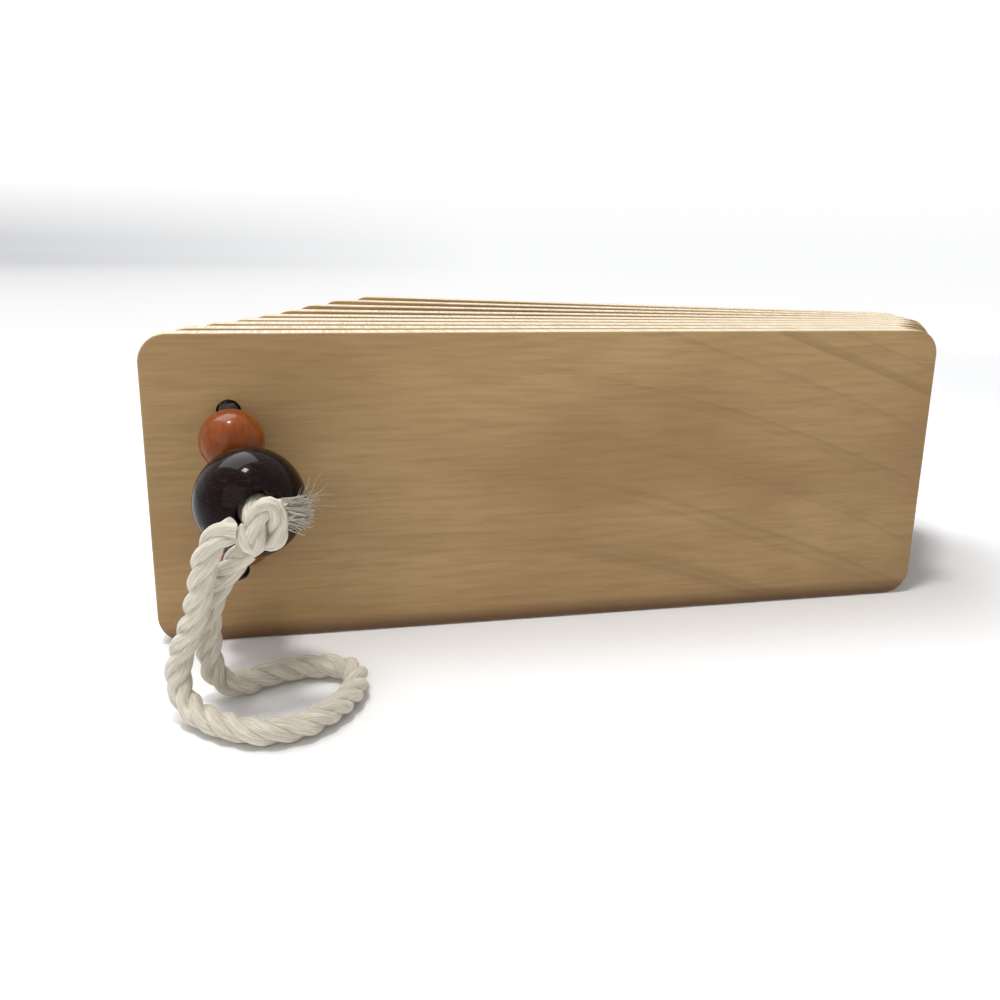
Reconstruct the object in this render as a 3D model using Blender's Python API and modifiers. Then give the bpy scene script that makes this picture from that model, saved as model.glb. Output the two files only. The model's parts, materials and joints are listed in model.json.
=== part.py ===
"""Fan rattle: nine wooden plates strung on two runs of cotton cord, with beads and a finger loop in front."""
import math

import bmesh
import bpy
from mathutils import Matrix, Vector

# Plates
PLATE_COUNT = 9
PLATE_LENGTH = 0.165
PLATE_HEIGHT = 0.060
PLATE_THICKNESS = 0.006
CORNER_RADIUS = 0.0055
EDGE_EASE = 0.0004
CORNER_SEGMENTS = 5
HOLE_RADIUS = 0.0023
HOLE_INSET = 0.0155
HOLE_FROM_EDGE = 0.0145

# How far each plate stands open from the one before it, at the cord end, and how far its free end slips
CORD_END_GAPS = (0.0046, 0.0046, 0.0046, 0.0060, 0.0110, 0.0150, 0.0170, 0.0170)
FREE_END_SLIPS = (-0.0025, -0.0045, -0.0045, -0.0035, -0.0030, -0.0010, 0.0, 0.0)

# Cords
CORD_RADIUS = 0.0017
LOOP_RADIUS = 0.0022
CORD_JOINT_INSET = 0.0006
CORD_LEAD_IN = 0.0014
CORD_REACH = 0.78
CORD_BEND_ROOM = 0.0050
SEAT_GAP = 0.0003

# Spacers and beads
SPACER_RADIUS = 0.0045
SPACER_THICKNESS = 0.0030
SPACER_CHAMFER = 0.0005
BORE_CLEARANCE = 0.0004
SMALL_BEAD_RADIUS = 0.0059
LARGE_BEAD_RADIUS = 0.0096
LARGE_BEAD_BORE = 0.0040
DOUBLED_CORD_RADIUS = 0.0034
BEAD_ARC_POINTS = 10
BEAD_STEPS = 20
BACK_KNOT_RADIUS = 0.0034

# Places in front of the first plate, from its cord end and its front face
LARGE_BEAD_PLACE = Vector((0.0192, -0.0195, 0.0330))
LARGE_BEAD_AIM = Vector((0.0220, -0.0330, 0.0330))
UPPER_BEAD_PLACE = Vector((0.0161, -0.0062, 0.0411))
LOWER_BEAD_PLACE = Vector((0.0170, -0.0062, 0.0232))
KNOT_PLACE = Vector((0.0220, -0.0330, 0.0330))
KNOT_SIZE = Vector((0.0042, 0.0039, 0.0048))
FRAY_PLACE = Vector((0.0285, -0.0330, 0.0345))
FRAY_RADIUS = 0.0021
FRAY_LENGTH = 0.0042

# Route of the finger loop, from the knot down to the floor, round and back up
LOOP_ROUTE = (
    (0.0173, -0.0346, 0.0328), (0.0142, -0.0350, 0.0314), (0.0123, -0.0345, 0.0270),
    (0.0112, -0.0336, 0.0220), (0.0100, -0.0326, 0.0174), (0.0084, -0.0316, 0.0134),
    (0.0071, -0.0313, 0.0094), (0.0069, -0.0318, 0.0056), (0.0090, -0.0348, 0.0029),
    (0.0139, -0.0400, 0.0023), (0.0202, -0.0436, 0.0023), (0.0273, -0.0420, 0.0023),
    (0.0334, -0.0352, 0.0023), (0.0360, -0.0272, 0.0023), (0.0340, -0.0222, 0.0023),
    (0.0286, -0.0208, 0.0023), (0.0217, -0.0224, 0.0023), (0.0168, -0.0252, 0.0023),
    (0.0134, -0.0257, 0.0031), (0.0116, -0.0260, 0.0066), (0.0115, -0.0266, 0.0110),
    (0.0119, -0.0276, 0.0156), (0.0130, -0.0288, 0.0200), (0.0156, -0.0304, 0.0246),
    (0.0186, -0.0315, 0.0282),
)
LOOP_STEP = 0.0042

# Colours
PALE_WOOD = (0.62, 0.45, 0.26, 1.0)
AMBER_WOOD = (0.45, 0.13, 0.02, 1.0)
DARK_WOOD = (0.02, 0.007, 0.006, 1.0)
COTTON = (0.78, 0.74, 0.66, 1.0)

# The frame's origin is under the middle of the first plate
ORIGIN_SHIFT = Vector((-PLATE_LENGTH / 2, -PLATE_THICKNESS / 2, 0.0))


def clear_scene():
    for item in list(bpy.data.objects):
        bpy.data.objects.remove(item, do_unlink=True)


def make_collection(name):
    group = bpy.data.collections.new(name)
    bpy.context.scene.collection.children.link(group)
    return group


def make_material(name, colour, roughness):
    material = bpy.data.materials.new(name)
    material.use_nodes = True
    shader = material.node_tree.nodes["Principled BSDF"]
    shader.inputs["Base Color"].default_value = colour
    shader.inputs["Roughness"].default_value = roughness
    shader.inputs["Metallic"].default_value = 0.0
    return material


def add_object(name, mesh, group, material, smooth=True):
    item = bpy.data.objects.new(name, mesh)
    group.objects.link(item)
    if material is not None:
        mesh.materials.append(material)
    if smooth:
        mesh.shade_smooth()
        mesh.set_sharp_from_angle(angle=math.radians(35))
    return item


def plate_chain():
    """Cord-end corner and turn of each plate's front face, seen from above, from the first to the last."""
    corners = [Vector((0.0, 0.0, 0.0))]
    turns = [0.0]
    lever = PLATE_LENGTH - HOLE_INSET
    for gap, slip in zip(CORD_END_GAPS, FREE_END_SLIPS):
        along = Vector((math.cos(turns[-1]), -math.sin(turns[-1]), 0.0))
        back = Vector((math.sin(turns[-1]), math.cos(turns[-1]), 0.0))
        free_end = corners[-1] + along * (PLATE_LENGTH - slip) + back * (PLATE_THICKNESS + SEAT_GAP)
        turn = turns[-1] + math.asin((gap - SEAT_GAP) / lever)
        next_along = Vector((math.cos(turn), -math.sin(turn), 0.0))
        corners.append(free_end - next_along * PLATE_LENGTH)
        turns.append(turn)
    return corners, turns


def plate_mesh():
    """A board on its long edge: rounded corners, lightly eased arrises, front face at y = 0."""
    mesh = bpy.data.meshes.new("plate")
    shape = bmesh.new()
    bmesh.ops.create_cube(shape, size=1.0)
    bmesh.ops.scale(shape, vec=(PLATE_LENGTH, PLATE_THICKNESS, PLATE_HEIGHT), verts=shape.verts)
    middle = (PLATE_LENGTH / 2, PLATE_THICKNESS / 2, PLATE_HEIGHT / 2)
    bmesh.ops.translate(shape, vec=middle, verts=shape.verts)
    across = [edge for edge in shape.edges if abs(edge.verts[0].co.y - edge.verts[1].co.y) > EDGE_EASE]
    bmesh.ops.bevel(shape, geom=across, offset=CORNER_RADIUS, segments=CORNER_SEGMENTS, profile=0.5,
                    affect="EDGES", material=-1)
    rim = [edge for edge in shape.edges if edge.calc_face_angle() > math.radians(60)]
    bmesh.ops.bevel(shape, geom=rim, offset=EDGE_EASE, segments=1, profile=0.5, affect="EDGES", material=-1)
    shape.to_mesh(mesh)
    shape.free()
    return mesh


def hole_cutter(name, height, group):
    """Round cutter through a plate's thickness, at a height above the lower edge."""
    mesh = bpy.data.meshes.new(name)
    shape = bmesh.new()
    bmesh.ops.create_cone(shape, cap_ends=True, segments=20, radius1=HOLE_RADIUS, radius2=HOLE_RADIUS,
                          depth=PLATE_THICKNESS * 3)
    bmesh.ops.rotate(shape, matrix=Matrix.Rotation(math.pi / 2, 3, "X"), verts=shape.verts)
    bmesh.ops.translate(shape, vec=(HOLE_INSET, PLATE_THICKNESS / 2, height), verts=shape.verts)
    shape.to_mesh(mesh)
    shape.free()
    cutter = add_object(name, mesh, group, None, smooth=False)
    cutter.display_type = "WIRE"
    cutter.hide_render = True
    return cutter


def cut(item, cutter):
    boolean = item.modifiers.new("hole", "BOOLEAN")
    boolean.operation = "DIFFERENCE"
    boolean.solver = "EXACT"
    boolean.object = cutter


def turned(name, profile, group, material, place, axis, steps=BEAD_STEPS, parent=None):
    """A turned piece: the profile's outer side runs from top to bottom, and its bore closes it."""
    mesh = bpy.data.meshes.new(name)
    shape = bmesh.new()
    points = [shape.verts.new((x, 0.0, z)) for x, z in profile]
    for first, second in zip(points, points[1:] + points[:1]):
        shape.edges.new((first, second))
    shape.to_mesh(mesh)
    shape.free()
    item = add_object(name, mesh, group, material, smooth=False)
    screw = item.modifiers.new("turning", "SCREW")
    screw.axis = "Z"
    screw.steps = steps
    screw.render_steps = steps
    screw.use_merge_vertices = True
    screw.merge_threshold = 0.00001
    screw.use_smooth_shade = True
    item.rotation_mode = "QUATERNION"
    item.rotation_quaternion = axis.to_track_quat("Z", "Y")
    item.location = place
    item.parent = parent
    return item


def bead_profile(radius, bore):
    start = math.acos(bore / radius)
    angles = [start - 2 * start * i / BEAD_ARC_POINTS for i in range(BEAD_ARC_POINTS + 1)]
    return [(radius * math.cos(a), radius * math.sin(a)) for a in angles]


def spacer_profile():
    bore = CORD_RADIUS + BORE_CLEARANCE
    half = SPACER_THICKNESS / 2
    rim = SPACER_RADIUS - SPACER_CHAMFER
    return [(bore, half), (rim, half), (SPACER_RADIUS, half - SPACER_CHAMFER),
            (SPACER_RADIUS, SPACER_CHAMFER - half), (rim, -half), (bore, -half)]


def smooth_points(route, step):
    """Even points on a smooth curve through the route's own points."""
    route = [Vector(point) for point in route]
    ends = [route[0] * 2 - route[1]] + route + [route[-1] * 2 - route[-2]]
    fine = []
    for i in range(len(route) - 1):
        a, b, c, d = ends[i:i + 4]
        for j in range(24):
            t = j / 24
            fine.append(0.5 * (2 * b + (c - a) * t + (2 * a - 5 * b + 4 * c - d) * t ** 2
                               + (3 * b - a - 3 * c + d) * t ** 3))
    fine.append(route[-1])
    length = sum((q - p).length for p, q in zip(fine, fine[1:]))
    count = max(2, round(length / step))
    points = [fine[0]]
    done = 0.0
    for p, q in zip(fine, fine[1:]):
        piece = (q - p).length
        while len(points) < count and done + piece >= length * len(points) / count:
            points.append(p.lerp(q, (length * len(points) / count - done) / piece))
        done += piece
    points.append(fine[-1])
    return points, length


def cord(name, points, radius, group, material, parent=None):
    curve = bpy.data.curves.new(name, "CURVE")
    curve.dimensions = "3D"
    curve.bevel_depth = radius
    curve.bevel_resolution = 2
    curve.use_fill_caps = True
    spline = curve.splines.new("POLY")
    spline.points.add(len(points) - 1)
    for slot, point in zip(spline.points, points):
        slot.co = (*point, 1.0)
    curve.materials.append(material)
    item = bpy.data.objects.new(name, curve)
    group.objects.link(item)
    item.parent = parent
    return item


def build_plates(group, cutters, wood):
    """Plates on a chain of upright axes, each through the cord line at the plate's front face."""
    corners, turns = plate_chain()
    holes = {"upper": PLATE_HEIGHT - HOLE_FROM_EDGE, "lower": HOLE_FROM_EDGE}
    axes = []
    for i in range(PLATE_COUNT):
        axis = bpy.data.objects.new(f"fan_axis_{i + 1}", None)
        group.objects.link(axis)
        along = Vector((math.cos(turns[i]), -math.sin(turns[i]), 0.0))
        pivot = corners[i] + along * HOLE_INSET + ORIGIN_SHIFT
        axis.matrix_world = Matrix.Translation(pivot) @ Matrix.Rotation(-turns[i], 4, "Z")
        axes.append(axis)
        plate = add_object(f"plate_{i + 1}", plate_mesh(), group, wood)
        plate.parent = axis
        plate.location = (-HOLE_INSET, 0.0, 0.0)
        for row, height in holes.items():
            cutter = hole_cutter(f"{row}_hole_{i + 1}", height, cutters)
            cutter.parent = axis
            cutter.location = plate.location
            cut(plate, cutter)
    return axes, holes


def build_stringing(axes, holes, group, wood, cotton):
    """Cord stretches and spacers behind each plate, and the beads and knots that end them."""
    for i, axis in enumerate(axes):
        for row, height in holes.items():
            start = Vector((0.0, CORD_JOINT_INSET, height))
            spacer_y = PLATE_THICKNESS + SEAT_GAP + SPACER_THICKNESS / 2
            if i + 1 < len(axes):
                step = axes[i].matrix_world.inverted() @ axes[i + 1].matrix_world.translation
                straight = Vector((0.0, PLATE_THICKNESS + SPACER_THICKNESS + SEAT_GAP, height))
                target = Vector((step.x, step.y, height))
                free = target - straight
                points = [start, Vector((0.0, PLATE_THICKNESS, height)), straight]
                if free.length > CORD_BEND_ROOM:
                    inset = CORD_JOINT_INSET + CORD_RADIUS * abs(free.x) / free.length
                    points.append(target - free.normalized() * inset)
                turned(f"{row}_spacer_{i + 1}", spacer_profile(), group, wood["amber"],
                       Vector((0.0, spacer_y, height)), Vector((0.0, 1.0, 0.0)), 16, axis)
            else:
                bead_y = PLATE_THICKNESS + SEAT_GAP + SMALL_BEAD_RADIUS
                knot_y = bead_y + SMALL_BEAD_RADIUS + BACK_KNOT_RADIUS
                bore = CORD_RADIUS + BORE_CLEARANCE
                turned(f"{row}_back_bead", bead_profile(SMALL_BEAD_RADIUS, bore), group, wood["amber"],
                       Vector((0.0, bead_y, height)), Vector((0.0, 1.0, 0.0)), parent=axis)
                knot = knot_solid(f"{row}_back_knot", Vector((0.0, knot_y, height)),
                                  Vector((1.0, 1.0, 1.0)) * BACK_KNOT_RADIUS, group, cotton)
                knot.parent = axis
                points = [start, Vector((0.0, PLATE_THICKNESS, height)),
                          Vector((0.0, knot_y - BACK_KNOT_RADIUS - SEAT_GAP, height))]
            cord(f"{row}_cord_{i + 1}", points, CORD_RADIUS, group, cotton, axis)


def knot_solid(name, place, half_size, group, material):
    mesh = bpy.data.meshes.new(name)
    shape = bmesh.new()
    bmesh.ops.create_uvsphere(shape, u_segments=14, v_segments=9, radius=1.0)
    bmesh.ops.scale(shape, vec=half_size, verts=shape.verts)
    shape.to_mesh(mesh)
    shape.free()
    item = add_object(name, mesh, group, material)
    item.location = place
    return item


def build_front(holes, group, wood, cotton):
    """Two small beads, the large bead, the knot with its frayed end, and the finger loop."""
    shift = ORIGIN_SHIFT
    bore = CORD_RADIUS + BORE_CLEARANCE
    forward = (LARGE_BEAD_AIM - LARGE_BEAD_PLACE).normalized()
    mouth = LARGE_BEAD_PLACE - forward * LARGE_BEAD_RADIUS
    places = {"upper": UPPER_BEAD_PLACE, "lower": LOWER_BEAD_PLACE}
    for row, place in places.items():
        hole = Vector((HOLE_INSET, 0.0, holes[row]))
        lead = (mouth - hole).normalized()
        turned(f"{row}_front_bead", bead_profile(SMALL_BEAD_RADIUS, bore), group, wood["amber"],
               place + shift, lead)
        route = [hole - Vector((0.0, CORD_LEAD_IN, 0.0)), place - lead * (SMALL_BEAD_RADIUS + SEAT_GAP),
                 place + lead * SMALL_BEAD_RADIUS * CORD_REACH]
        cord(f"{row}_front_cord", [point + shift for point in route], CORD_RADIUS, group, cotton)
    ends = [mouth + shift, KNOT_PLACE - forward * (KNOT_SIZE.y + 2 * SEAT_GAP) + shift]
    cord("doubled_cord", [ends[0], (ends[0] + ends[1]) / 2, ends[1]], DOUBLED_CORD_RADIUS, group, cotton)
    turned("large_front_bead", bead_profile(LARGE_BEAD_RADIUS, LARGE_BEAD_BORE), group, wood["dark"],
           LARGE_BEAD_PLACE + shift, LARGE_BEAD_AIM - LARGE_BEAD_PLACE, BEAD_STEPS + 4)
    knot_solid("front_knot", KNOT_PLACE + shift, KNOT_SIZE, group, cotton)
    mesh = bpy.data.meshes.new("frayed_end")
    shape = bmesh.new()
    bmesh.ops.create_cone(shape, cap_ends=True, segments=12, radius1=FRAY_RADIUS * 0.8, radius2=FRAY_RADIUS,
                          depth=FRAY_LENGTH)
    bmesh.ops.rotate(shape, matrix=Matrix.Rotation(math.pi / 2, 3, "Y"), verts=shape.verts)
    shape.to_mesh(mesh)
    shape.free()
    fray = add_object("frayed_end", mesh, group, cotton)
    fray.location = FRAY_PLACE + shift
    points, length = smooth_points([Vector(point) + shift for point in LOOP_ROUTE], LOOP_STEP)
    cord("loop_cord", points, LOOP_RADIUS, group, cotton)
    print("finger loop length, metres:", round(length, 4))


def main():
    clear_scene()
    group = make_collection("fan_rattle")
    cutters = make_collection("cutters")
    pale = make_material("pale_wood", PALE_WOOD, 0.55)
    wood = {"amber": make_material("amber_wood", AMBER_WOOD, 0.25),
            "dark": make_material("dark_wood", DARK_WOOD, 0.15)}
    cotton = make_material("cotton", COTTON, 0.9)
    axes, holes = build_plates(group, cutters, pale)
    build_stringing(axes, holes, group, wood, cotton)
    build_front(holes, group, wood, cotton)


main()
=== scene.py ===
"""The fan rattle's looks: grained boards, lacquered beads, twisted cotton cord, and their studio."""
import json
import math
import random

import bmesh
import bpy
from mathutils import Matrix, Vector


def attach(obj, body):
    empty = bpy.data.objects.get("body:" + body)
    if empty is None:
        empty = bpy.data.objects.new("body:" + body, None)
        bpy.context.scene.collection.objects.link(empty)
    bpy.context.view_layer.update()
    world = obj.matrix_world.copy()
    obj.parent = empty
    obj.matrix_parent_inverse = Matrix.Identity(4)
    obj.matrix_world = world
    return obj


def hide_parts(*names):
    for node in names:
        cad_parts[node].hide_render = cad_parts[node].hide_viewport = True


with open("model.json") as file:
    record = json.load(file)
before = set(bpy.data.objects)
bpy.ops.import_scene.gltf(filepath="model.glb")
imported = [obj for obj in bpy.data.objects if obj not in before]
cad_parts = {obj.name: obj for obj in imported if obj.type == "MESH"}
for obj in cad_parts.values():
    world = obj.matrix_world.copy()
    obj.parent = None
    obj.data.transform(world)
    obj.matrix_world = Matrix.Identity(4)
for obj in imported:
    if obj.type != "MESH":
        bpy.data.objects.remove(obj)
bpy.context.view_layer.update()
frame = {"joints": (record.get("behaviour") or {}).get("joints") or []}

# Boards, in metres
PLATE_COUNT = 9
PLATE_LENGTH = 0.165
PLATE_HEIGHT = 0.060
PLATE_THICKNESS = 0.006
CORNER_RADIUS = 0.0055
CORNER_SEGMENTS = 14
EDGE_EASE = 0.0004
EASE_SEGMENTS = 3
EDGE_ANGLE = math.radians(60)
HOLE_RADIUS = 0.0023
HOLE_SIDES = 48
HOLE_INSET = 0.0155
HOLE_FROM_EDGE = 0.0145
HOLE_HEIGHTS = {"upper": PLATE_HEIGHT - HOLE_FROM_EDGE, "lower": HOLE_FROM_EDGE}
CORD_END_GAPS = (0.0046, 0.0046, 0.0046, 0.0060, 0.0110, 0.0150, 0.0170, 0.0170)
SEAT_GAP = 0.0003
ORIGIN_SHIFT = Vector((-PLATE_LENGTH / 2, -PLATE_THICKNESS / 2, 0.0))

# Spacer rings and beads
SPACER_RADIUS = 0.0045
SPACER_THICKNESS = 0.0030
SPACER_ARC_STEPS = 12
SPACER_SIDES = 40
BORE_CLEARANCE = 0.0004
SMALL_BEAD_RADIUS = 0.0059
SMALL_BEAD_PLACES = {"upper": Vector((0.0161, -0.0062, 0.0411)), "lower": Vector((0.0170, -0.0062, 0.0232))}
SMALL_BEAD_SIDES = 72
SMALL_BEAD_ARC_STEPS = 40
END_BEAD_SIDES = 64
LARGE_BEAD_RADIUS = 0.0096
LARGE_BEAD_BORE = 0.0040
LARGE_BEAD_PLACE = Vector((0.0192, -0.0195, 0.0330))
LARGE_BEAD_AIM = Vector((0.0220, -0.0330, 0.0330))
LARGE_BEAD_SIDES = 96
LARGE_BEAD_ARC_STEPS = 64
BORE_ARC_SHARE = 0.985
BORE_RIM_SHARE = 0.96
MERGE_DISTANCE = 0.000001

# Cords: widths, the lay of their three strands, and the spacing of the points along each of them
CORD_RADIUS = 0.0017
LOOP_DIAMETER = 0.0044
KNOT_CORD_DIAMETER = 0.0037
END_KNOT_CORD_DIAMETER = 0.0027
CORE_DIAMETER = 0.0062
STRANDS = 3
STRAND_SHARE = 0.262
STRAND_SIDES = 14
STRAND_UV_SHIFT = 0.13
LAY_PITCH = 0.0125
SLOW_SWELL, SLOW_SWELL_RATE = 0.05, 900
QUICK_SWELL, QUICK_SWELL_RATE = 0.03, 2300
SWELL_PHASES = (0, 6.28)
ROUTE_FINENESS = 24
UPRIGHT_LIMIT = 1e-7
STRING_STEP = 0.0009
LEAD_CORD_STEP = 0.0008
CORE_STEP = 0.001
LOOP_STEP = 0.0005
KNOT_STEP = 0.0005
END_KNOT_STEP = 0.0006

# Where each stretch of cord starts and stops
STRING_INSET = 0.001
CORD_STOPS_SHORT = 0.0018
CORD_BEND_ROOM = 0.0050
END_KNOT_STANDOFF = 0.0030
LEAD_CORD_DEPTH = 0.004
LEAD_CORD_ENTRY, LEAD_CORD_EXIT = 0.9, 0.8
LEAD_CORD_TUCK = 0.001
CORE_INSET = 0.0005
CORE_STANDOUT = 0.001

# Small knot behind each end bead: two turns round the cord, then a short tail
END_KNOT_POINTS = 15
END_KNOT_TURNS = 2
END_KNOT_REACH, END_KNOT_SWING, END_KNOT_LIFT = 0.00115, 0.0005, 0.0009
END_KNOT_WEAVE = 1.5
END_KNOT_TAIL = ((0.0024, 0.0004), (0.0032, 0.0006))

# Routes of the finger loop and of the front knot, from the first board's cord end and front face
LOOP_ROUTE = (
    (0.0173, -0.0346, 0.0328), (0.0142, -0.0350, 0.0314), (0.0123, -0.0345, 0.0270),
    (0.0112, -0.0336, 0.0220), (0.0100, -0.0326, 0.0174), (0.0084, -0.0316, 0.0134),
    (0.0071, -0.0313, 0.0094), (0.0069, -0.0318, 0.0056), (0.0090, -0.0348, 0.0029),
    (0.0139, -0.0400, 0.0023), (0.0202, -0.0436, 0.0023), (0.0273, -0.0420, 0.0023),
    (0.0334, -0.0352, 0.0023), (0.0360, -0.0272, 0.0023), (0.0340, -0.0222, 0.0023),
    (0.0286, -0.0208, 0.0023), (0.0217, -0.0224, 0.0023), (0.0168, -0.0252, 0.0023),
    (0.0134, -0.0257, 0.0031), (0.0116, -0.0260, 0.0066), (0.0115, -0.0266, 0.0110),
    (0.0119, -0.0276, 0.0156), (0.0130, -0.0288, 0.0200), (0.0156, -0.0304, 0.0246),
    (0.0186, -0.0315, 0.0282),
)
KNOT_ROUTE = (
    (0.0176, -0.0346, 0.0326), (0.0192, -0.0350, 0.0308), (0.0200, -0.0352, 0.0302),
    (0.0203, -0.0354, 0.0330), (0.0212, -0.0352, 0.0356), (0.0228, -0.0346, 0.0360),
    (0.0238, -0.0342, 0.0336), (0.0234, -0.0340, 0.0308), (0.0218, -0.0322, 0.0302),
    (0.0208, -0.0312, 0.0322), (0.0216, -0.0310, 0.0344), (0.0236, -0.0322, 0.0350),
    (0.0256, -0.0330, 0.0346),
)
KNOT_TAIL_ROUTE = ((0.0190, -0.0318, 0.0286), (0.0204, -0.0322, 0.0296), (0.0218, -0.0330, 0.0312))

# Frayed end, where a strand's lean and rise are each a mean and a spread
FRAY_BASE = Vector((0.0250, -0.0330, 0.0346))
FRAY_STRANDS = 340
FRAY_STRAND_RADIUS = 0.00016
FRAY_ROOTS_ALONG = (-0.0006, 0.0008)
FRAY_ROOTS_DEEP, FRAY_ROOTS_HIGH = 0.0008, 0.0009
FRAY_LEAN = (-0.1, 0.20)
FRAY_RISE = (0.0, 0.24)
FRAY_LENGTH = 0.0040
FRAY_LENGTH_SHARES = (0.55, 1.0)
FRAY_CURL = 0.35

# Fine fibres that stand off the loop, and longer stray ones at the frayed end
FUZZ_RADIUS = 0.00003
FUZZ_FROM, FUZZ_END_MARGIN, FUZZ_EVERY = 8, 4, 2
FUZZ_ROOT_SHARE = 0.46
FUZZ_LOWEST = 0.0009
FUZZ_LIFT = Vector((0.0, 0.0, 0.3))
FUZZ_LENGTHS = (0.0008, 0.0026)
FUZZ_CURL = 1.0
STRAY_COUNT = 26
STRAY_ROOTS_ALONG = (0.0, 0.003)
STRAY_ROOTS_FORWARD = -0.001
STRAY_ROOTS_HIGH = (0.0, 0.0015)
STRAY_ASIDE, STRAY_FORWARD = 0.9, -0.2
STRAY_RISE = (0.3, 1.6)
STRAY_LENGTHS = (0.003, 0.008)
STRAY_CURL = 0.8

# Every fibre bends a little more at each of its steps and thins towards its tip
FIBRE_STEPS = 7
FIBRE_SIDES = 3
FIBRE_TAPER = 0.07
FIBRE_BEND, FIBRE_BEND_KEPT, FIBRE_BEND_NEW = 0.22, 0.8, 0.5

# Shading: edges sharper than these stay crisp, in degrees
BOARD_SHARP = 35.0
TURNED_SHARP = 50.0
STRAND_SHARP = 70.0
FIBRE_SHARP = 180.0

# Board grain: how it bends down towards the free end, and how fine its marks are along each axis
GRAIN_BEND_FROM = 0.06
GRAIN_BEND_POWER = 1.6
GRAIN_FALL = 0.030
GRAIN_WANDER = 0.007
SEED_PER_BOARD = 0.37
WANDER_SCALE = (9, 30, 22)
GROWTH_SCALE = 170.0
STREAK_SCALE = (70, 500, 900)
SAWN_SCALE = (2600, 60, 300)
PATCH_SCALE = (14, 30, 34)

# The noise values between which each kind of mark comes in, and how level a narrow edge lies
GROWTH_LIMITS = (0.53, 0.66)
STREAK_LIMITS = (0.42, 0.66)
SAWN_LIMITS = (0.35, 0.65)
PATCH_LIMITS = (0.35, 0.65)
EDGE_LEVEL_LIMITS = (0.75, 0.95)

# Board colours
PALE_WOOD = (0.6, 0.45, 0.28)
# Broad faces: maple darkened with painted shade, its tone varying at random between these two
SHADED_MAPLE_DEEP = (0.325, 0.195, 0.072)
SHADED_MAPLE_PALE = (0.445, 0.290, 0.122)
STREAK_BROWN = (0.235, 0.135, 0.052)
STREAK_SHADE = 0.42
GROWTH_BROWN = (0.18, 0.095, 0.034)
GROWTH_SHADE = 0.50
# Darker brown towards the lower edge and the free end; near-black painted shade along the lower edge where
# the board meets the floor
LOW_END_BROWN = (0.25, 0.125, 0.040)
FLOOR_CONTACT_SHADE = (0.085, 0.033, 0.008)
# Narrow edges: sawn marks, paled with painted light for the light that falls on the edges
LIT_SAWN_PALE = (0.80, 0.70, 0.53)
LIT_SAWN_DARK = (0.50, 0.37, 0.21)

# How far the darkening reaches: up from the lower edge, on that edge itself (painted shade where the board
# meets the floor), and in from the free end
LOW_DARKEN_REACH, LOW_DARKEN = 0.012, 0.35
FOOT_SHADE_TOP, FOOT_SHADE_FULL, FOOT_SHADE = 0.0036, 0.0008, 0.85
END_DARKEN_REACH, END_DARKEN = 0.010, 0.30

# Bead and cord colours
AMBER_WOOD = (0.5, 0.14, 0.02)
AMBER_DEEP = (0.13, 0.026, 0.004)
AMBER_LIGHT = (0.36, 0.085, 0.010)
AMBER_GRAIN = (0.13, 0.024, 0.005)
DARK_WOOD = (0.012, 0.004, 0.004)
LACQUER_BLACK = (0.006, 0.0015, 0.0015)
LACQUER_PORE = (0.03, 0.009, 0.007)
COTTON = (0.80, 0.76, 0.67)
YARN_SHADE = (0.52, 0.46, 0.35)
YARN_LIGHT = (0.82, 0.77, 0.67)
YARN_STRAW = (0.50, 0.42, 0.30)
# Lead cords: near-black cotton, painted shade for the dark inside the drilled holes
LEAD_SHADE_COTTON = (0.035, 0.022, 0.016)

# Floor and background: the shadow fades out, then the haze comes in, between these distances
FLOOR_HALF_WIDTH = 6.0
FLOOR_DROP = 0.0002
FLOOR_WHITE = (0.93, 0.93, 0.94)
FLOOR_SHADOW_REACH = 0.24
FLOOR_WHITE_FROM = 0.70
HAZE_FROM, HAZE_FULL = 0.7, 3.5
HAZE_HEIGHT = 0.05
HAZE_RIGHT = (0.96, 0.965, 0.97)
HAZE_LEFT = (0.66, 0.665, 0.68)
HAZE_RIGHT_END, HAZE_LEFT_END = 0.20, -0.25
WHITE = (1.0, 1.0, 1.0)

# Lights: name, place, width, power and colour
LAMPS = (
    ("window", (-0.28, 0.42, 0.95), 0.75, 9.0, (0.96, 0.98, 1.0)),
    ("overhead", (-0.12, -0.10, 0.70), 0.10, 2.0, (1.0, 0.98, 0.95)),
    ("fill", (-0.45, -0.60, 0.35), 0.60, 1.1, (1.0, 0.95, 0.88)),
)
LAMP_AIM = Vector((-0.02, 0.02, 0.03))
SKY_COLOUR = (0.94, 0.97, 1.0)
SKY_STRENGTH = 0.40

# Camera
CAMERA_PLACE = Vector((0.02518, -0.18313, 0.07605))
CAMERA_FORWARD = Vector((0.21849, 0.94155, -0.2564))
CAMERA_ROLL = 0.0161
CAMERA_CLIP = 0.005
FOCAL_PIXELS = 955.9
PHOTO_PIXELS = 1000.0
SENSOR = 36.0


def make_camera():
    data = bpy.data.cameras.new("camera")
    data.sensor_width = SENSOR
    data.sensor_fit = "HORIZONTAL"
    data.lens = FOCAL_PIXELS * SENSOR / PHOTO_PIXELS
    data.clip_start = CAMERA_CLIP
    camera = bpy.data.objects.new("camera", data)
    bpy.context.scene.collection.objects.link(camera)
    camera.location = CAMERA_PLACE + ORIGIN_SHIFT
    camera.rotation_mode = "QUATERNION"
    turn = CAMERA_FORWARD.to_track_quat("-Z", "Y")
    camera.rotation_quaternion = turn @ Matrix.Rotation(CAMERA_ROLL, 4, "Z").to_quaternion()
    bpy.context.scene.camera = camera


def new_mesh(name, shape):
    mesh = bpy.data.meshes.new(name)
    shape.to_mesh(mesh)
    shape.free()
    return mesh


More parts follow.
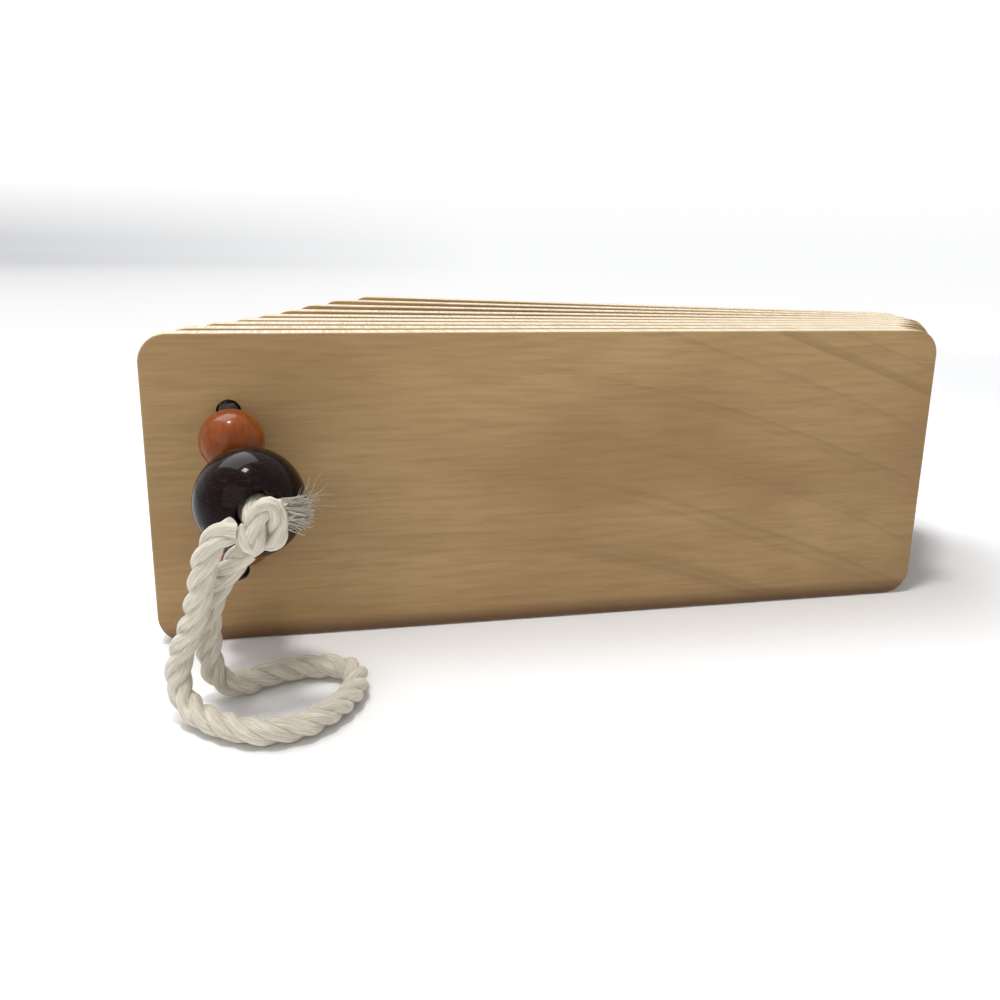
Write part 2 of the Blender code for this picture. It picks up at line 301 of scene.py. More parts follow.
def add_object(name, shape, sharp=BOARD_SHARP, material=None):
    """A finished piece at the origin, from a bmesh that is used up."""
    mesh = new_mesh(name, shape)
    item = bpy.data.objects.new(name, mesh)
    bpy.context.scene.collection.objects.link(item)
    mesh.shade_smooth()
    mesh.set_sharp_from_angle(angle=math.radians(sharp))
    if material is not None:
        mesh.materials.append(material)
    return item


def from_board(route):
    """Points given from the first board's cord end and front face, in the frame's own place."""
    return [Vector(point) + ORIGIN_SHIFT for point in route]


def add_node(tree, kind, **values):
    node = tree.nodes.new(kind)
    for key, value in values.items():
        setattr(node, key, value)
    return node


def base_material(name, colour, roughness):
    material = bpy.data.materials.new(name)
    material.use_nodes = True
    shader = material.node_tree.nodes["Principled BSDF"]
    shader.inputs["Base Color"].default_value = (*colour, 1.0)
    shader.inputs["Roughness"].default_value = roughness
    return material, material.node_tree, shader


def set_lacquer(shader, specular, weight, ior, roughness):
    shader.inputs["Specular IOR Level"].default_value = specular
    shader.inputs["Coat Weight"].default_value = weight
    shader.inputs["Coat IOR"].default_value = ior
    shader.inputs["Coat Roughness"].default_value = roughness


def noise(tree, vector, scale, detail=4.0, rough=0.55):
    node = add_node(tree, "ShaderNodeTexNoise")
    node.inputs["Scale"].default_value = scale
    node.inputs["Detail"].default_value = detail
    node.inputs["Roughness"].default_value = rough
    tree.links.new(vector, node.inputs["Vector"])
    return node.outputs["Fac"]


def mapping(tree, vector, place=(0, 0, 0), turn=(0, 0, 0), scale=(1, 1, 1)):
    node = add_node(tree, "ShaderNodeMapping")
    node.inputs["Location"].default_value = place
    node.inputs["Rotation"].default_value = turn
    node.inputs["Scale"].default_value = scale
    tree.links.new(vector, node.inputs["Vector"])
    return node.outputs["Vector"]


def stretched_noise(tree, vector, scale, detail, rough=0.55, turn=(0, 0, 0)):
    """Noise whose size is set along each axis by itself."""
    return noise(tree, mapping(tree, vector, scale=scale, turn=turn), 1.0, detail, rough)


def split_axes(tree, vector):
    node = add_node(tree, "ShaderNodeSeparateXYZ")
    tree.links.new(vector, node.inputs["Vector"])
    return node.outputs


def remap(tree, value, low, high, out_low=0.0, out_high=1.0):
    node = add_node(tree, "ShaderNodeMapRange")
    node.inputs["From Min"].default_value = low
    node.inputs["From Max"].default_value = high
    node.inputs["To Min"].default_value = out_low
    node.inputs["To Max"].default_value = out_high
    tree.links.new(value, node.inputs["Value"])
    return node.outputs["Result"]


def math_node(tree, operation, first, second):
    node = add_node(tree, "ShaderNodeMath", operation=operation)
    for socket, value in zip(node.inputs, (first, second)):
        if isinstance(value, (int, float)):
            socket.default_value = value
        else:
            tree.links.new(value, socket)
    return node.outputs["Value"]


def times(tree, first, second):
    return math_node(tree, "MULTIPLY", first, second)


def mix(tree, amount, first, second):
    node = add_node(tree, "ShaderNodeMix", data_type="RGBA")
    for name, value in (("Factor", amount), ("A", first), ("B", second)):
        socket = node.inputs[name]
        if isinstance(value, (int, float)):
            socket.default_value = value
        elif isinstance(value, tuple):
            socket.default_value = (*value, 1.0)
        else:
            tree.links.new(value, socket)
    return node.outputs["Result"]


def bump(tree, height, strength, distance):
    node = add_node(tree, "ShaderNodeBump")
    node.inputs["Strength"].default_value = strength
    node.inputs["Distance"].default_value = distance
    tree.links.new(height, node.inputs["Height"])
    return node.outputs["Normal"]


def make_grain_group():
    """Board grain from a point in the board's own axes: growth lines, streaks, sawn marks and patches."""
    group = bpy.data.node_groups.new("board_grain", "ShaderNodeTree")
    group.interface.new_socket(name="Vector", in_out="INPUT", socket_type="NodeSocketVector")
    group.interface.new_socket(name="Seed", in_out="INPUT", socket_type="NodeSocketFloat")
    for name in ("Lines", "Streaks", "Cuts", "Patches"):
        group.interface.new_socket(name=name, in_out="OUTPUT", socket_type="NodeSocketFloat")
    given = group.nodes.new("NodeGroupInput")
    out = group.nodes.new("NodeGroupOutput")
    shift = add_node(group, "ShaderNodeCombineXYZ")
    group.links.new(given.outputs["Seed"], shift.inputs["Y"])
    group.links.new(given.outputs["Seed"], shift.inputs["Z"])
    place = add_node(group, "ShaderNodeVectorMath", operation="ADD")
    group.links.new(given.outputs["Vector"], place.inputs[0])
    group.links.new(shift.outputs["Vector"], place.inputs[1])
    point = place.outputs["Vector"]

    # Growth lines run level from the cord end and bend down towards the free end
    axes = split_axes(group, given.outputs["Vector"])
    right = remap(group, axes["X"], GRAIN_BEND_FROM, PLATE_LENGTH)
    fall = times(group, math_node(group, "POWER", right, GRAIN_BEND_POWER), GRAIN_FALL)
    wander = times(group, stretched_noise(group, point, WANDER_SCALE, detail=2.0), GRAIN_WANDER)
    rise = math_node(group, "ADD", math_node(group, "ADD", axes["Z"], fall), wander)
    rings = add_node(group, "ShaderNodeCombineXYZ")
    group.links.new(math_node(group, "ADD", rise, given.outputs["Seed"]), rings.inputs["Z"])
    bands = noise(group, rings.outputs["Vector"], GROWTH_SCALE, detail=3.0, rough=0.6)
    lines = times(group, remap(group, bands, *GROWTH_LIMITS), remap(group, right, 0.0, 0.5, 0.15, 1.0))
    group.links.new(lines, out.inputs["Lines"])

    streaks = stretched_noise(group, point, STREAK_SCALE, detail=5.0, rough=0.65)
    group.links.new(remap(group, streaks, *STREAK_LIMITS), out.inputs["Streaks"])
    cuts = stretched_noise(group, point, SAWN_SCALE, detail=3.0, rough=0.6)
    group.links.new(remap(group, cuts, *SAWN_LIMITS), out.inputs["Cuts"])
    patches = stretched_noise(group, point, PATCH_SCALE, detail=2.0)
    group.links.new(patches, out.inputs["Patches"])
    return group


def board_material(index, pivot, turn, grain):
    """Pale maple, darkened with painted shade, with growth lines, darker towards the lower edge and the
    free end, painted shade where the lower edge meets the floor, and sawn marks on the narrow edges, paled
    with painted light.
    """
    material, tree, shader = base_material(f"pale_wood_{index}", PALE_WOOD, roughness=0.48)
    coords = add_node(tree, "ShaderNodeTexCoord").outputs["Object"]
    centred = mapping(tree, coords, place=tuple(-value for value in pivot))
    local = mapping(tree, centred, place=(HOLE_INSET, 0, 0), turn=(0, 0, turn))
    group = add_node(tree, "ShaderNodeGroup")
    group.node_tree = grain
    group.inputs["Seed"].default_value = SEED_PER_BOARD * index
    tree.links.new(local, group.inputs["Vector"])
    marks = group.outputs

    # Painted shade: the broad faces start from maple darkened as if in shade; patches vary its tone at
    # random
    colour = mix(tree, remap(tree, marks["Patches"], *PATCH_LIMITS), SHADED_MAPLE_DEEP, SHADED_MAPLE_PALE)
    colour = mix(tree, times(tree, marks["Streaks"], STREAK_SHADE), colour, STREAK_BROWN)
    colour = mix(tree, times(tree, marks["Lines"], GROWTH_SHADE), colour, GROWTH_BROWN)

    axes = split_axes(tree, local)
    # Darker brown towards the lower edge and towards the free end
    low = remap(tree, axes["Z"], LOW_DARKEN_REACH, 0.0)
    # Painted shade: a near-black strip along the lower edge, where the board meets the floor
    foot = remap(tree, axes["Z"], FOOT_SHADE_TOP, FOOT_SHADE_FULL)
    end = remap(tree, axes["X"], PLATE_LENGTH - END_DARKEN_REACH, PLATE_LENGTH)
    darkening = math_node(tree, "MAXIMUM", times(tree, low, LOW_DARKEN), times(tree, end, END_DARKEN))
    colour = mix(tree, darkening, colour, LOW_END_BROWN)
    colour = mix(tree, times(tree, foot, FOOT_SHADE), colour, FLOOR_CONTACT_SHADE)

    # Painted light: the narrow top and bottom edges take a much paler colour, with the sawn marks in it
    facing = split_axes(tree, add_node(tree, "ShaderNodeNewGeometry").outputs["Normal"])
    edge = remap(tree, math_node(tree, "ABSOLUTE", facing["Z"], 0.0), *EDGE_LEVEL_LIMITS)
    colour = mix(tree, edge, colour, mix(tree, marks["Cuts"], LIT_SAWN_PALE, LIT_SAWN_DARK))
    tree.links.new(colour, shader.inputs["Base Color"])
    relief = math_node(tree, "ADD", marks["Streaks"], times(tree, edge, marks["Cuts"]))
    tree.links.new(bump(tree, relief, strength=0.25, distance=0.0001), shader.inputs["Normal"])
    tree.links.new(remap(tree, marks["Streaks"], 0.0, 1.0, 0.42, 0.60), shader.inputs["Roughness"])
    return material


def amber_material():
    material, tree, shader = base_material("amber_lacquer", AMBER_WOOD, roughness=0.30)
    coords = add_node(tree, "ShaderNodeTexCoord").outputs["Object"]
    grain = stretched_noise(tree, coords, (1500, 500, 500), detail=4.0, rough=0.6)
    patches = stretched_noise(tree, coords, (260, 260, 260), detail=2.0)
    colour = mix(tree, patches, AMBER_DEEP, AMBER_LIGHT)
    colour = mix(tree, remap(tree, grain, 0.48, 0.70, 0.0, 0.6), colour, AMBER_GRAIN)
    tree.links.new(colour, shader.inputs["Base Color"])
    tree.links.new(bump(tree, grain, strength=0.12, distance=0.0001), shader.inputs["Normal"])
    set_lacquer(shader, specular=0.10, weight=0.6, ior=1.27, roughness=0.08)
    return material


def dark_material():
    """Near-black lacquer over wood whose pores show faintly."""
    material, tree, shader = base_material("dark_lacquer", DARK_WOOD, roughness=0.25)
    coords = add_node(tree, "ShaderNodeTexCoord").outputs["Object"]
    pores = stretched_noise(tree, coords, (900, 900, 2600), detail=4.0, rough=0.6)
    swell = stretched_noise(tree, coords, (320, 320, 320), detail=2.0)
    colour = mix(tree, remap(tree, pores, 0.5, 0.75), LACQUER_BLACK, LACQUER_PORE)
    tree.links.new(colour, shader.inputs["Base Color"])
    relief = math_node(tree, "ADD", remap(tree, pores, 0.55, 0.75), times(tree, swell, 0.8))
    tree.links.new(bump(tree, relief, strength=0.22, distance=0.00012), shader.inputs["Normal"])
    set_lacquer(shader, specular=0.02, weight=0.5, ior=1.25, roughness=0.05)
    return material


def cotton_material():
    """Unbleached yarn: fibres run along each strand, from the strand's own UV map."""
    material, tree, shader = base_material("cotton_yarn", COTTON, roughness=0.92)
    coords = add_node(tree, "ShaderNodeTexCoord").outputs["UV"]
    fibre_marks = stretched_noise(tree, coords, (26, 260, 1), detail=5.0, rough=0.65, turn=(0, 0, 0.12))
    clumps = stretched_noise(tree, coords, (5, 420, 1), detail=3.0)
    colour = mix(tree, remap(tree, fibre_marks, 0.35, 0.65), YARN_SHADE, YARN_LIGHT)
    colour = mix(tree, remap(tree, clumps, 0.5, 0.75, 0.0, 0.35), colour, YARN_STRAW)
    tree.links.new(colour, shader.inputs["Base Color"])
    tree.links.new(bump(tree, fibre_marks, strength=0.8, distance=0.0003), shader.inputs["Normal"])
    shader.inputs["Sheen Weight"].default_value = 0.25
    return material


def drill_hole(board, row, height, place):
    drill = bmesh.new()
    bmesh.ops.create_cone(drill, cap_ends=True, segments=HOLE_SIDES, radius1=HOLE_RADIUS,
                          radius2=HOLE_RADIUS, depth=PLATE_THICKNESS * 3)
    bmesh.ops.rotate(drill, matrix=Matrix.Rotation(math.pi / 2, 3, "X"), verts=drill.verts)
    bmesh.ops.translate(drill, vec=(HOLE_INSET, PLATE_THICKNESS / 2, height), verts=drill.verts)
    bmesh.ops.transform(drill, matrix=place, verts=drill.verts)
    cutter = bpy.data.objects.new("drill", new_mesh("drill", drill))
    bpy.context.scene.collection.objects.link(cutter)
    boolean = board.modifiers.new(row, "BOOLEAN")
    boolean.object = cutter
    bpy.context.view_layer.objects.active = board
    bpy.ops.object.modifier_apply(modifier=boolean.name)
    bpy.data.objects.remove(cutter, do_unlink=True)


def make_board(name, pivot, turn):
    """A board with rounded corners, eased arrises and two drilled holes."""
    shape = bmesh.new()
    bmesh.ops.create_cube(shape, size=1.0)
    bmesh.ops.scale(shape, vec=(PLATE_LENGTH, PLATE_THICKNESS, PLATE_HEIGHT), verts=shape.verts)
    middle = (PLATE_LENGTH / 2, PLATE_THICKNESS / 2, PLATE_HEIGHT / 2)
    bmesh.ops.translate(shape, vec=middle, verts=shape.verts)
    across = [edge for edge in shape.edges if abs(edge.verts[0].co.y - edge.verts[1].co.y) > EDGE_EASE]
    bmesh.ops.bevel(shape, geom=across, offset=CORNER_RADIUS, segments=CORNER_SEGMENTS, profile=0.5,
                    affect="EDGES", material=-1)
    rim = [edge for edge in shape.edges if edge.calc_face_angle() > EDGE_ANGLE]
    bmesh.ops.bevel(shape, geom=rim, offset=EDGE_EASE, segments=EASE_SEGMENTS, profile=0.5, affect="EDGES",
                    material=-1)
    to_pivot = Matrix.Translation(pivot) @ Matrix.Rotation(-turn, 4, "Z")
    place = to_pivot @ Matrix.Translation((-HOLE_INSET, 0, 0))
    bmesh.ops.transform(shape, matrix=place, verts=shape.verts)
    board = add_object(name, shape)
    for row, height in HOLE_HEIGHTS.items():
        drill_hole(board, row, height, place)

    # The drilled rims are crisp again, and the broad faces shade flat
    board.data.shade_smooth()
    board.data.set_sharp_from_angle(angle=math.radians(BOARD_SHARP))
    flat = board.modifiers.new("flat faces", "WEIGHTED_NORMAL")
    flat.weight = 100
    flat.keep_sharp = True
    bpy.ops.object.modifier_apply(modifier=flat.name)
    return board


def turned(name, profile, place, axis, steps, material):
    """A turned piece from a closed profile of points (radius, height) round its axis."""
    shape = bmesh.new()
    points = [shape.verts.new((x, 0.0, z)) for x, z in profile]
    edges = [shape.edges.new((a, b)) for a, b in zip(points, points[1:] + points[:1])]
    bmesh.ops.spin(shape, geom=points + edges, cent=(0, 0, 0), axis=(0, 0, 1), angle=2 * math.pi,
                   steps=steps, use_merge=True)
    bmesh.ops.remove_doubles(shape, verts=shape.verts, dist=MERGE_DISTANCE)
    bmesh.ops.recalc_face_normals(shape, faces=shape.faces)
    turn = axis.to_track_quat("Z", "Y").to_matrix().to_4x4()
    bmesh.ops.transform(shape, matrix=Matrix.Translation(place) @ turn, verts=shape.verts)
    return add_object(name, shape, TURNED_SHARP, material)


def bead_profile(radius, bore, steps):
    start = math.acos(bore / radius) * BORE_ARC_SHARE
    arc = [start - 2 * start * i / steps for i in range(steps + 1)]
    outer = [(radius * math.cos(a), radius * math.sin(a)) for a in arc]
    rim = radius * math.sin(start) * BORE_RIM_SHARE
    return outer + [(bore, -rim), (bore, rim)]


def spacer_profile():
    bore = CORD_RADIUS + BORE_CLEARANCE
    half = SPACER_THICKNESS / 2
    arc = [math.pi / 2 - math.pi * i / SPACER_ARC_STEPS for i in range(SPACER_ARC_STEPS + 1)]
    outer = [(SPACER_RADIUS - half + half * math.cos(a), half * math.sin(a)) for a in arc]
    return [(bore, half)] + outer + [(bore, -half)]


def smooth_route(route, step):
    """Even points, with their length, on a smooth curve through a route's points."""
    route = [Vector(point) for point in route]
    ends = [route[0] * 2 - route[1]] + route + [route[-1] * 2 - route[-2]]
    fine = []
    for i in range(len(route) - 1):
        a, b, c, d = ends[i:i + 4]
        for j in range(ROUTE_FINENESS):
            t = j / ROUTE_FINENESS
            fine.append(0.5 * (2 * b + (c - a) * t + (2 * a - 5 * b + 4 * c - d) * t ** 2
                               + (3 * b - a - 3 * c + d) * t ** 3))
    fine.append(route[-1])
    length = sum((q - p).length for p, q in zip(fine, fine[1:]))
    count = max(3, round(length / step))
    points = [fine[0]]
    done = 0.0
    for p, q in zip(fine, fine[1:]):
        piece = (q - p).length
        while len(points) < count and done + piece >= length * len(points) / count:
            points.append(p.lerp(q, (length * len(points) / count - done) / piece))
        done += piece
    points.append(fine[-1])
    return points, length


def frames_along(points):
    """An upright pair of directions at each point, carried along without twist."""
    side = Vector((0.0, 0.0, 1.0)).cross(points[1] - points[0])
    if side.length < UPRIGHT_LIMIT:
        side = Vector((1.0, 0.0, 0.0))
    side.normalize()
    result = []
    for i in range(len(points)):
        ahead = points[min(i + 1, len(points) - 1)] - points[max(i - 1, 0)]
        ahead.normalize()
        side = (side - ahead * side.dot(ahead)).normalized()
        result.append((side, ahead.cross(side)))
    return result


def add_strand(shape, uv, points, radii, sides, start):
    """One strand: rings joined in order, closed at both ends, with u round it and v along it."""
    rings = []
    for point, radius, (side, up) in zip(points, radii, frames_along(points)):
        ring = []
        for k in range(sides):
            angle = 2 * math.pi * k / sides
            ring.append(shape.verts.new(point + (side * math.cos(angle) + up * math.sin(angle)) * radius))
        rings.append(ring)
    length = start
    for i in range(len(rings) - 1):
        near, far = rings[i], rings[i + 1]
        step = (points[i + 1] - points[i]).length
        for k in range(sides):
            beside = (k + 1) % sides
            face = shape.faces.new((near[k], near[beside], far[beside], far[k]))
            corners = ((k, length), (k + 1, length), (k + 1, length + step), (k, length + step))
            for loop, (u, v) in zip(face.loops, corners):
                loop[uv].uv = (u / sides + start, v)
        length += step
    shape.faces.new(list(reversed(rings[0])))
    shape.faces.new(rings[-1])


def rope(name, route, diameter, material, step, seed):
    """Three-strand twisted cord along a route, with its path and length."""
    path, length = smooth_route(route, step)
    spans = frames_along(path)
    draws = random.Random(seed)
    shape = bmesh.new()
    uv = shape.loops.layers.uv.new("yarn")
    strand = diameter * STRAND_SHARE
    offset = diameter * 0.5 - strand
    for s in range(STRANDS):
        phase = draws.uniform(*SWELL_PHASES)
        strand_points = []
        radii = []
        for i, (point, (side, up)) in enumerate(zip(path, spans)):
            along = length * i / (len(path) - 1)
            angle = 2 * math.pi * (along / LAY_PITCH + s / STRANDS)
            slow = SLOW_SWELL * math.sin(along * SLOW_SWELL_RATE + phase)
            quick = QUICK_SWELL * math.sin(along * QUICK_SWELL_RATE + 2 * phase)
            strand_points.append(point + (side * math.cos(angle) + up * math.sin(angle)) * offset)
            radii.append(strand * (1 + slow + quick))
        add_strand(shape, uv, strand_points, radii, STRAND_SIDES, STRAND_UV_SHIFT * s)
    bmesh.ops.recalc_face_normals(shape, faces=shape.faces)
    return add_object(name, shape, STRAND_SHARP, material), path, length


def fibres(name, starts, material, radius, seed):
    """Loose fibres: each start is (root, direction, length, curl)."""
    draws = random.Random(seed)
    shape = bmesh.new()
    uv = shape.loops.layers.uv.new("yarn")
    for root, direction, length, curl in starts:
        bend = Vector((draws.uniform(-1, 1), draws.uniform(-1, 1), draws.uniform(-1, 1))) * curl
        heading = direction.normalized()
        points = [root]
        for _ in range(FIBRE_STEPS):
            heading = (heading + bend * FIBRE_BEND).normalized()
            fresh = Vector([draws.uniform(-1, 1) * curl * FIBRE_BEND_NEW for _ in range(3)])
            bend = bend * FIBRE_BEND_KEPT + fresh
            points.append(points[-1] + heading * (length / FIBRE_STEPS))
        radii = [radius * (1 - FIBRE_TAPER * j) for j in range(FIBRE_STEPS + 1)]
        add_strand(shape, uv, points, radii, FIBRE_SIDES, draws.random())
    bmesh.ops.recalc_face_normals(shape, faces=shape.faces)
    return add_object(name, shape, FIBRE_SHARP, material)


def dress(piece, body, node):
    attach(piece, body)
    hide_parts(node)


def board_places():
    """Cord-line point and turn of each board's front face."""
    pivots = [Vector((HOLE_INSET, 0.0, 0.0)) + ORIGIN_SHIFT]
    turns = [0.0]
    for joint, gap in zip(frame["joints"], CORD_END_GAPS):
        pivots.append(Vector((joint["pos_m"][0], joint["pos_m"][1], 0.0)))
        turns.append(turns[-1] + math.asin((gap - SEAT_GAP) / (PLATE_LENGTH - HOLE_INSET)))
    return pivots, turns


def end_knot(name, middle, back, cotton):
    """A small overhand knot with a short tail, tied against a bead."""
    side = Vector((back.y, -back.x, 0.0))
    up = Vector((0.0, 0.0, 1.0))
    route = []
    for j in range(END_KNOT_POINTS):
        angle = 2 * math.pi * j / (END_KNOT_POINTS - 1) * END_KNOT_TURNS
        reach = END_KNOT_REACH + END_KNOT_SWING * math.cos(END_KNOT_WEAVE * angle)
        lift = END_KNOT_LIFT * math.sin(END_KNOT_WEAVE * angle)
        route.append(middle + (side * math.cos(angle) + up * math.sin(angle)) * reach + back * lift)
    for behind, aside in END_KNOT_TAIL:
        route.append(middle + back * behind + side * aside)
    return rope(name, route, END_KNOT_CORD_DIAMETER, cotton, END_KNOT_STEP, seed=9)[0]


def make_boards(amber, cotton):
    """Each board, and behind it the ring or end bead, the knot and the string on both of its cords."""
    grain = make_grain_group()
    pivots, turns = board_places()
    ring_outline = spacer_profile()
    bead_outline = bead_profile(SMALL_BEAD_RADIUS, CORD_RADIUS + BORE_CLEARANCE, SMALL_BEAD_ARC_STEPS)
    for i, (pivot, turn) in enumerate(zip(pivots, turns)):
        number = i + 1
        body = "front_board" if number == 1 else f"board_{number}"
        board = make_board(f"board_{number}_wood", pivot, turn)
        board.data.materials.append(board_material(number, pivot, turn, grain))
        dress(board, body, f"plate_{number}")
        back = Vector((math.sin(turn), math.cos(turn), 0.0))
        for row, height in HOLE_HEIGHTS.items():
            foot = pivot + Vector((0.0, 0.0, height))
            exit_point = foot + back * PLATE_THICKNESS
            route = [foot + back * STRING_INSET, exit_point]
            if number < PLATE_COUNT:
                ring_middle = exit_point + back * (SEAT_GAP + SPACER_THICKNESS / 2)
                ring = turned(f"{row}_ring_{number}", ring_outline, ring_middle, back, SPACER_SIDES, amber)
                dress(ring, body, f"{row}_spacer_{number}")
                ahead = exit_point + back * (SPACER_THICKNESS + SEAT_GAP)
                free = pivots[i + 1] + Vector((0.0, 0.0, height)) - ahead
                route.append(ahead)
                if free.length > CORD_BEND_ROOM:
                    route.append(ahead + free * (1 - CORD_STOPS_SHORT / free.length))
            else:
                bead_middle = exit_point + back * (SEAT_GAP + SMALL_BEAD_RADIUS)
                bead = turned(f"{row}_end_bead", bead_outline, bead_middle, back, END_BEAD_SIDES, amber)
                dress(bead, body, f"{row}_back_bead")
                knot_middle = bead_middle + back * (SMALL_BEAD_RADIUS + END_KNOT_STANDOFF)
                knot = end_knot(f"{row}_end_knot", knot_middle, back, cotton)
                dress(knot, body, f"{row}_back_knot")
                route += [bead_middle, knot_middle]
            string = rope(f"{row}_string_{number}", route, CORD_RADIUS * 2, cotton, STRING_STEP, number)[0]
            dress(string, body, f"{row}_cord_{number}")


def make_front_beads(amber, dark, cotton, lead_shade):
    """Two small beads on their lead cords, and the large bead over the doubled cord."""
    forward = (LARGE_BEAD_AIM - LARGE_BEAD_PLACE).normalized()
    mouth = LARGE_BEAD_PLACE - forward * LARGE_BEAD_RADIUS
    outline = bead_profile(SMALL_BEAD_RADIUS, CORD_RADIUS + BORE_CLEARANCE, SMALL_BEAD_ARC_STEPS)
    for row, place in SMALL_BEAD_PLACES.items():
        hole = Vector((HOLE_INSET, 0.0, HOLE_HEIGHTS[row]))
        lead = (mouth - hole).normalized()
        bead = turned(f"{row}_small_bead", outline, place + ORIGIN_SHIFT, lead, SMALL_BEAD_SIDES, amber)
        dress(bead, "front_board", f"{row}_front_bead")
        route = from_board((hole + Vector((0.0, LEAD_CORD_DEPTH, 0.0)), hole,
                            place - lead * SMALL_BEAD_RADIUS * LEAD_CORD_ENTRY,
                            place + lead * SMALL_BEAD_RADIUS * LEAD_CORD_EXIT,
                            mouth + forward * LEAD_CORD_TUCK))
        # The lead cords take the near-black cotton: painted shade inside the holes, not the yarn's own
        # colour
        cord = rope(f"{row}_lead_cord", route, CORD_RADIUS * 2, lead_shade, LEAD_CORD_STEP, seed=3)[0]
        dress(cord, "front_board", f"{row}_front_cord")
    outline = bead_profile(LARGE_BEAD_RADIUS, LARGE_BEAD_BORE, LARGE_BEAD_ARC_STEPS)
    large = turned("large_bead", outline, LARGE_BEAD_PLACE + ORIGIN_SHIFT, forward, LARGE_BEAD_SIDES, dark)
    dress(large, "front_board", "large_front_bead")
    route = from_board((mouth + forward * CORE_INSET, LARGE_BEAD_PLACE,
                        LARGE_BEAD_PLACE + forward * (LARGE_BEAD_RADIUS + CORE_STANDOUT)))
    core = rope("bead_core", route, CORE_DIAMETER, cotton, CORE_STEP, seed=4)[0]
    dress(core, "front_board", "doubled_cord")


def make_loop(cotton):
    """The front knot with its frayed end, the finger loop, and the fuzz that stands off them."""
    knot = rope("knot_turns", from_board(KNOT_ROUTE), KNOT_CORD_DIAMETER, cotton, KNOT_STEP, seed=6)[0]
    tail_route = from_board(KNOT_TAIL_ROUTE)
    tail = rope("knot_under", tail_route, KNOT_CORD_DIAMETER, cotton, KNOT_STEP, seed=7)[0]
    dress(knot, "front_board", "front_knot")
    draws = random.Random(11)
    base = FRAY_BASE + ORIGIN_SHIFT
    tuft = []
    for _ in range(FRAY_STRANDS):
        root = base + Vector((draws.uniform(*FRAY_ROOTS_ALONG), draws.gauss(0, FRAY_ROOTS_DEEP),
                              draws.gauss(0, FRAY_ROOTS_HIGH)))
        spread = Vector((1.0, draws.gauss(*FRAY_LEAN), draws.gauss(*FRAY_RISE)))
        tuft.append((root, spread, FRAY_LENGTH * draws.uniform(*FRAY_LENGTH_SHARES), FRAY_CURL))
    fray = fibres("frayed_tuft", tuft, cotton, FRAY_STRAND_RADIUS, seed=12)
    dress(fray, "front_board", "frayed_end")

    loop_route = from_board(LOOP_ROUTE)
    loop, path, length = rope("finger_loop", loop_route, LOOP_DIAMETER, cotton, LOOP_STEP, seed=8)
    dress(loop, "front_board", "loop_cord")

    starts = []
    for i in range(FUZZ_FROM, len(path) - FUZZ_END_MARGIN, FUZZ_EVERY):
        around = Vector((draws.gauss(0, 1), draws.gauss(0, 1), draws.gauss(0, 1))).normalized()
        root = path[i] + around * LOOP_DIAMETER * FUZZ_ROOT_SHARE
        if root.z < FUZZ_LOWEST:
            continue
        starts.append((root, around + FUZZ_LIFT, draws.uniform(*FUZZ_LENGTHS), FUZZ_CURL))
    for _ in range(STRAY_COUNT):
        root = base + Vector((draws.uniform(*STRAY_ROOTS_ALONG), STRAY_ROOTS_FORWARD,
                              draws.uniform(*STRAY_ROOTS_HIGH)))
        heading = Vector((STRAY_ASIDE, STRAY_FORWARD, draws.uniform(*STRAY_RISE)))
        starts.append((root, heading, draws.uniform(*STRAY_LENGTHS), STRAY_CURL))
    fuzz = fibres("stray_fibres", starts, cotton, FUZZ_RADIUS, seed=13)
    for piece in (tail, fuzz):
        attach(piece, "front_board")


def seen_rays(tree):
    """One on rays that show the surroundings: straight from the camera, mirrored or let through."""
    rays = add_node(tree, "ShaderNodeLightPath").outputs
    mirrored = math_node(tree, "MAXIMUM", rays["Is Glossy Ray"], rays["Is Transmission Ray"])
    return math_node(tree, "MAXIMUM", rays["Is Camera Ray"], mirrored)


def haze_colour(tree, heading):
    """Soft grey of the far background, deepest to the left and gone to the right."""
    sideways = remap(tree, split_axes(tree, heading)["X"], HAZE_RIGHT_END, HAZE_LEFT_END)
    return mix(tree, sideways, HAZE_RIGHT, HAZE_LEFT)


def blend_shaders(tree, amount, lit, shown, out):
    cover = add_node(tree, "ShaderNodeMixShader")
    tree.links.new(amount, cover.inputs["Fac"])
    tree.links.new(lit, cover.inputs[1])
    tree.links.new(shown, cover.inputs[2])
    tree.links.new(cover.outputs["Shader"], out.inputs["Surface"])


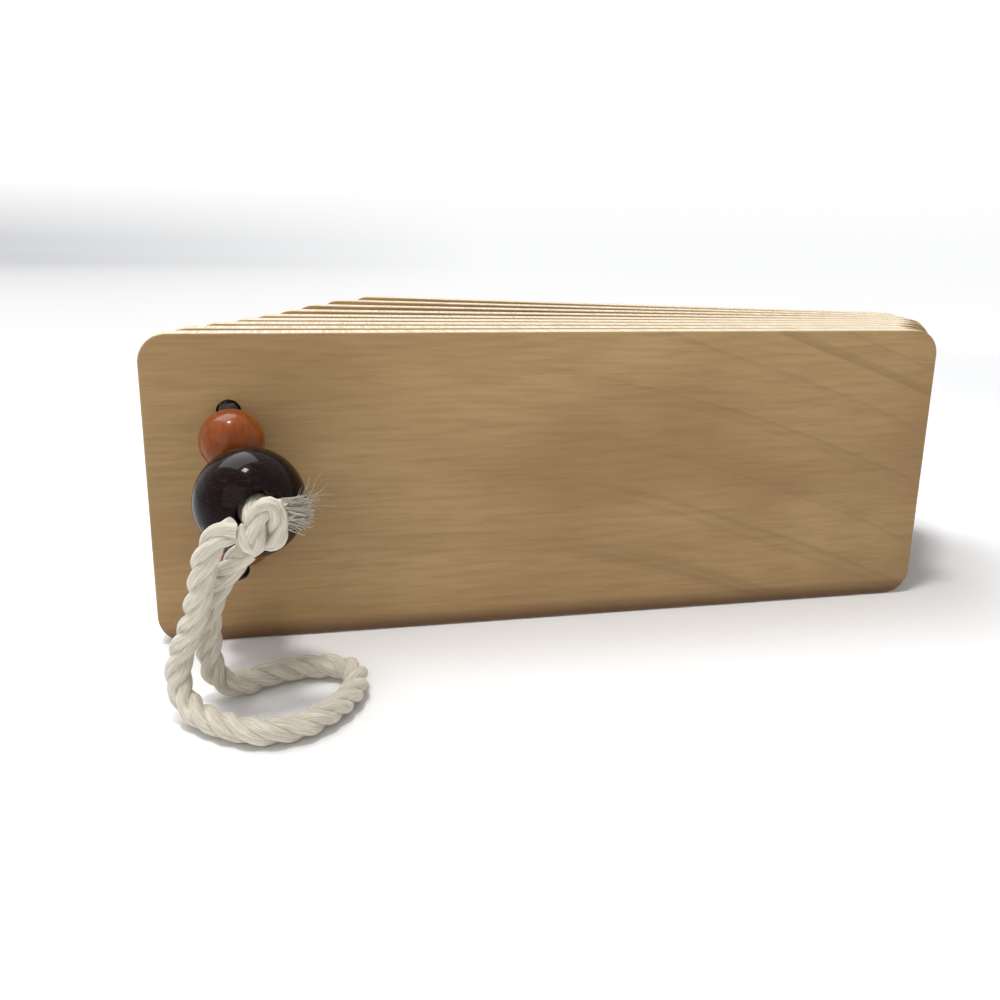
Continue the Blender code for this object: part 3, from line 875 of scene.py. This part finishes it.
def make_floor():
    """A floor that takes the object's shadow and turns plain white, then hazy, away from it."""
    shape = bmesh.new()
    bmesh.ops.create_grid(shape, x_segments=1, y_segments=1, size=FLOOR_HALF_WIDTH)
    material, tree, shader = base_material("floor_white", FLOOR_WHITE, roughness=0.9)
    floor = add_object("floor", shape, material=material)
    floor.location.z = -FLOOR_DROP
    shader.inputs["Specular IOR Level"].default_value = 0.1
    coords = add_node(tree, "ShaderNodeTexCoord").outputs["Object"]
    spread = add_node(tree, "ShaderNodeVectorMath", operation="LENGTH")
    tree.links.new(coords, spread.inputs[0])
    heading = add_node(tree, "ShaderNodeVectorMath", operation="NORMALIZE")
    tree.links.new(coords, heading.inputs[0])
    far = remap(tree, spread.outputs["Value"], FLOOR_SHADOW_REACH, FLOOR_WHITE_FROM)
    distant = remap(tree, spread.outputs["Value"], HAZE_FROM, HAZE_FULL)
    glow = add_node(tree, "ShaderNodeEmission")
    haze = haze_colour(tree, heading.outputs["Vector"])
    tree.links.new(mix(tree, distant, WHITE, haze), glow.inputs["Color"])
    blend_shaders(tree, times(tree, far, seen_rays(tree)), shader.outputs["BSDF"], glow.outputs["Emission"],
                  tree.nodes["Material Output"])


def make_world():
    """Soft daylight on the object; white with a low haze wherever the surroundings are seen."""
    world = bpy.data.worlds.new("studio")
    bpy.context.scene.world = world
    world.use_nodes = True
    tree = world.node_tree
    tree.nodes.clear()
    light = add_node(tree, "ShaderNodeBackground")
    light.inputs["Color"].default_value = (*SKY_COLOUR, 1.0)
    light.inputs["Strength"].default_value = SKY_STRENGTH
    white = add_node(tree, "ShaderNodeBackground")
    heading = add_node(tree, "ShaderNodeTexCoord").outputs["Generated"]
    level = remap(tree, split_axes(tree, heading)["Z"], HAZE_HEIGHT, 0.0)
    tree.links.new(mix(tree, level, WHITE, haze_colour(tree, heading)), white.inputs["Color"])
    blend_shaders(tree, seen_rays(tree), light.outputs["Background"], white.outputs["Background"],
                  add_node(tree, "ShaderNodeOutputWorld"))


def make_lamps():
    for name, place, size, power, colour in LAMPS:
        data = bpy.data.lights.new(name, "AREA")
        data.size = size
        data.energy = power
        data.color = colour
        lamp = bpy.data.objects.new(name, data)
        bpy.context.scene.collection.objects.link(lamp)
        lamp.location = place
        lamp.rotation_mode = "QUATERNION"
        lamp.rotation_quaternion = (LAMP_AIM - Vector(place)).to_track_quat("-Z", "Y")


def main():
    make_camera()
    amber = amber_material()
    cotton = cotton_material()
    lead_shade = base_material("lead_shade_cotton", LEAD_SHADE_COTTON, roughness=0.95)[0]
    make_front_beads(amber, dark_material(), cotton, lead_shade)
    make_loop(cotton)
    make_boards(amber, cotton)
    make_floor()
    make_world()
    make_lamps()
    bpy.context.scene.view_settings.view_transform = "Standard"


main()
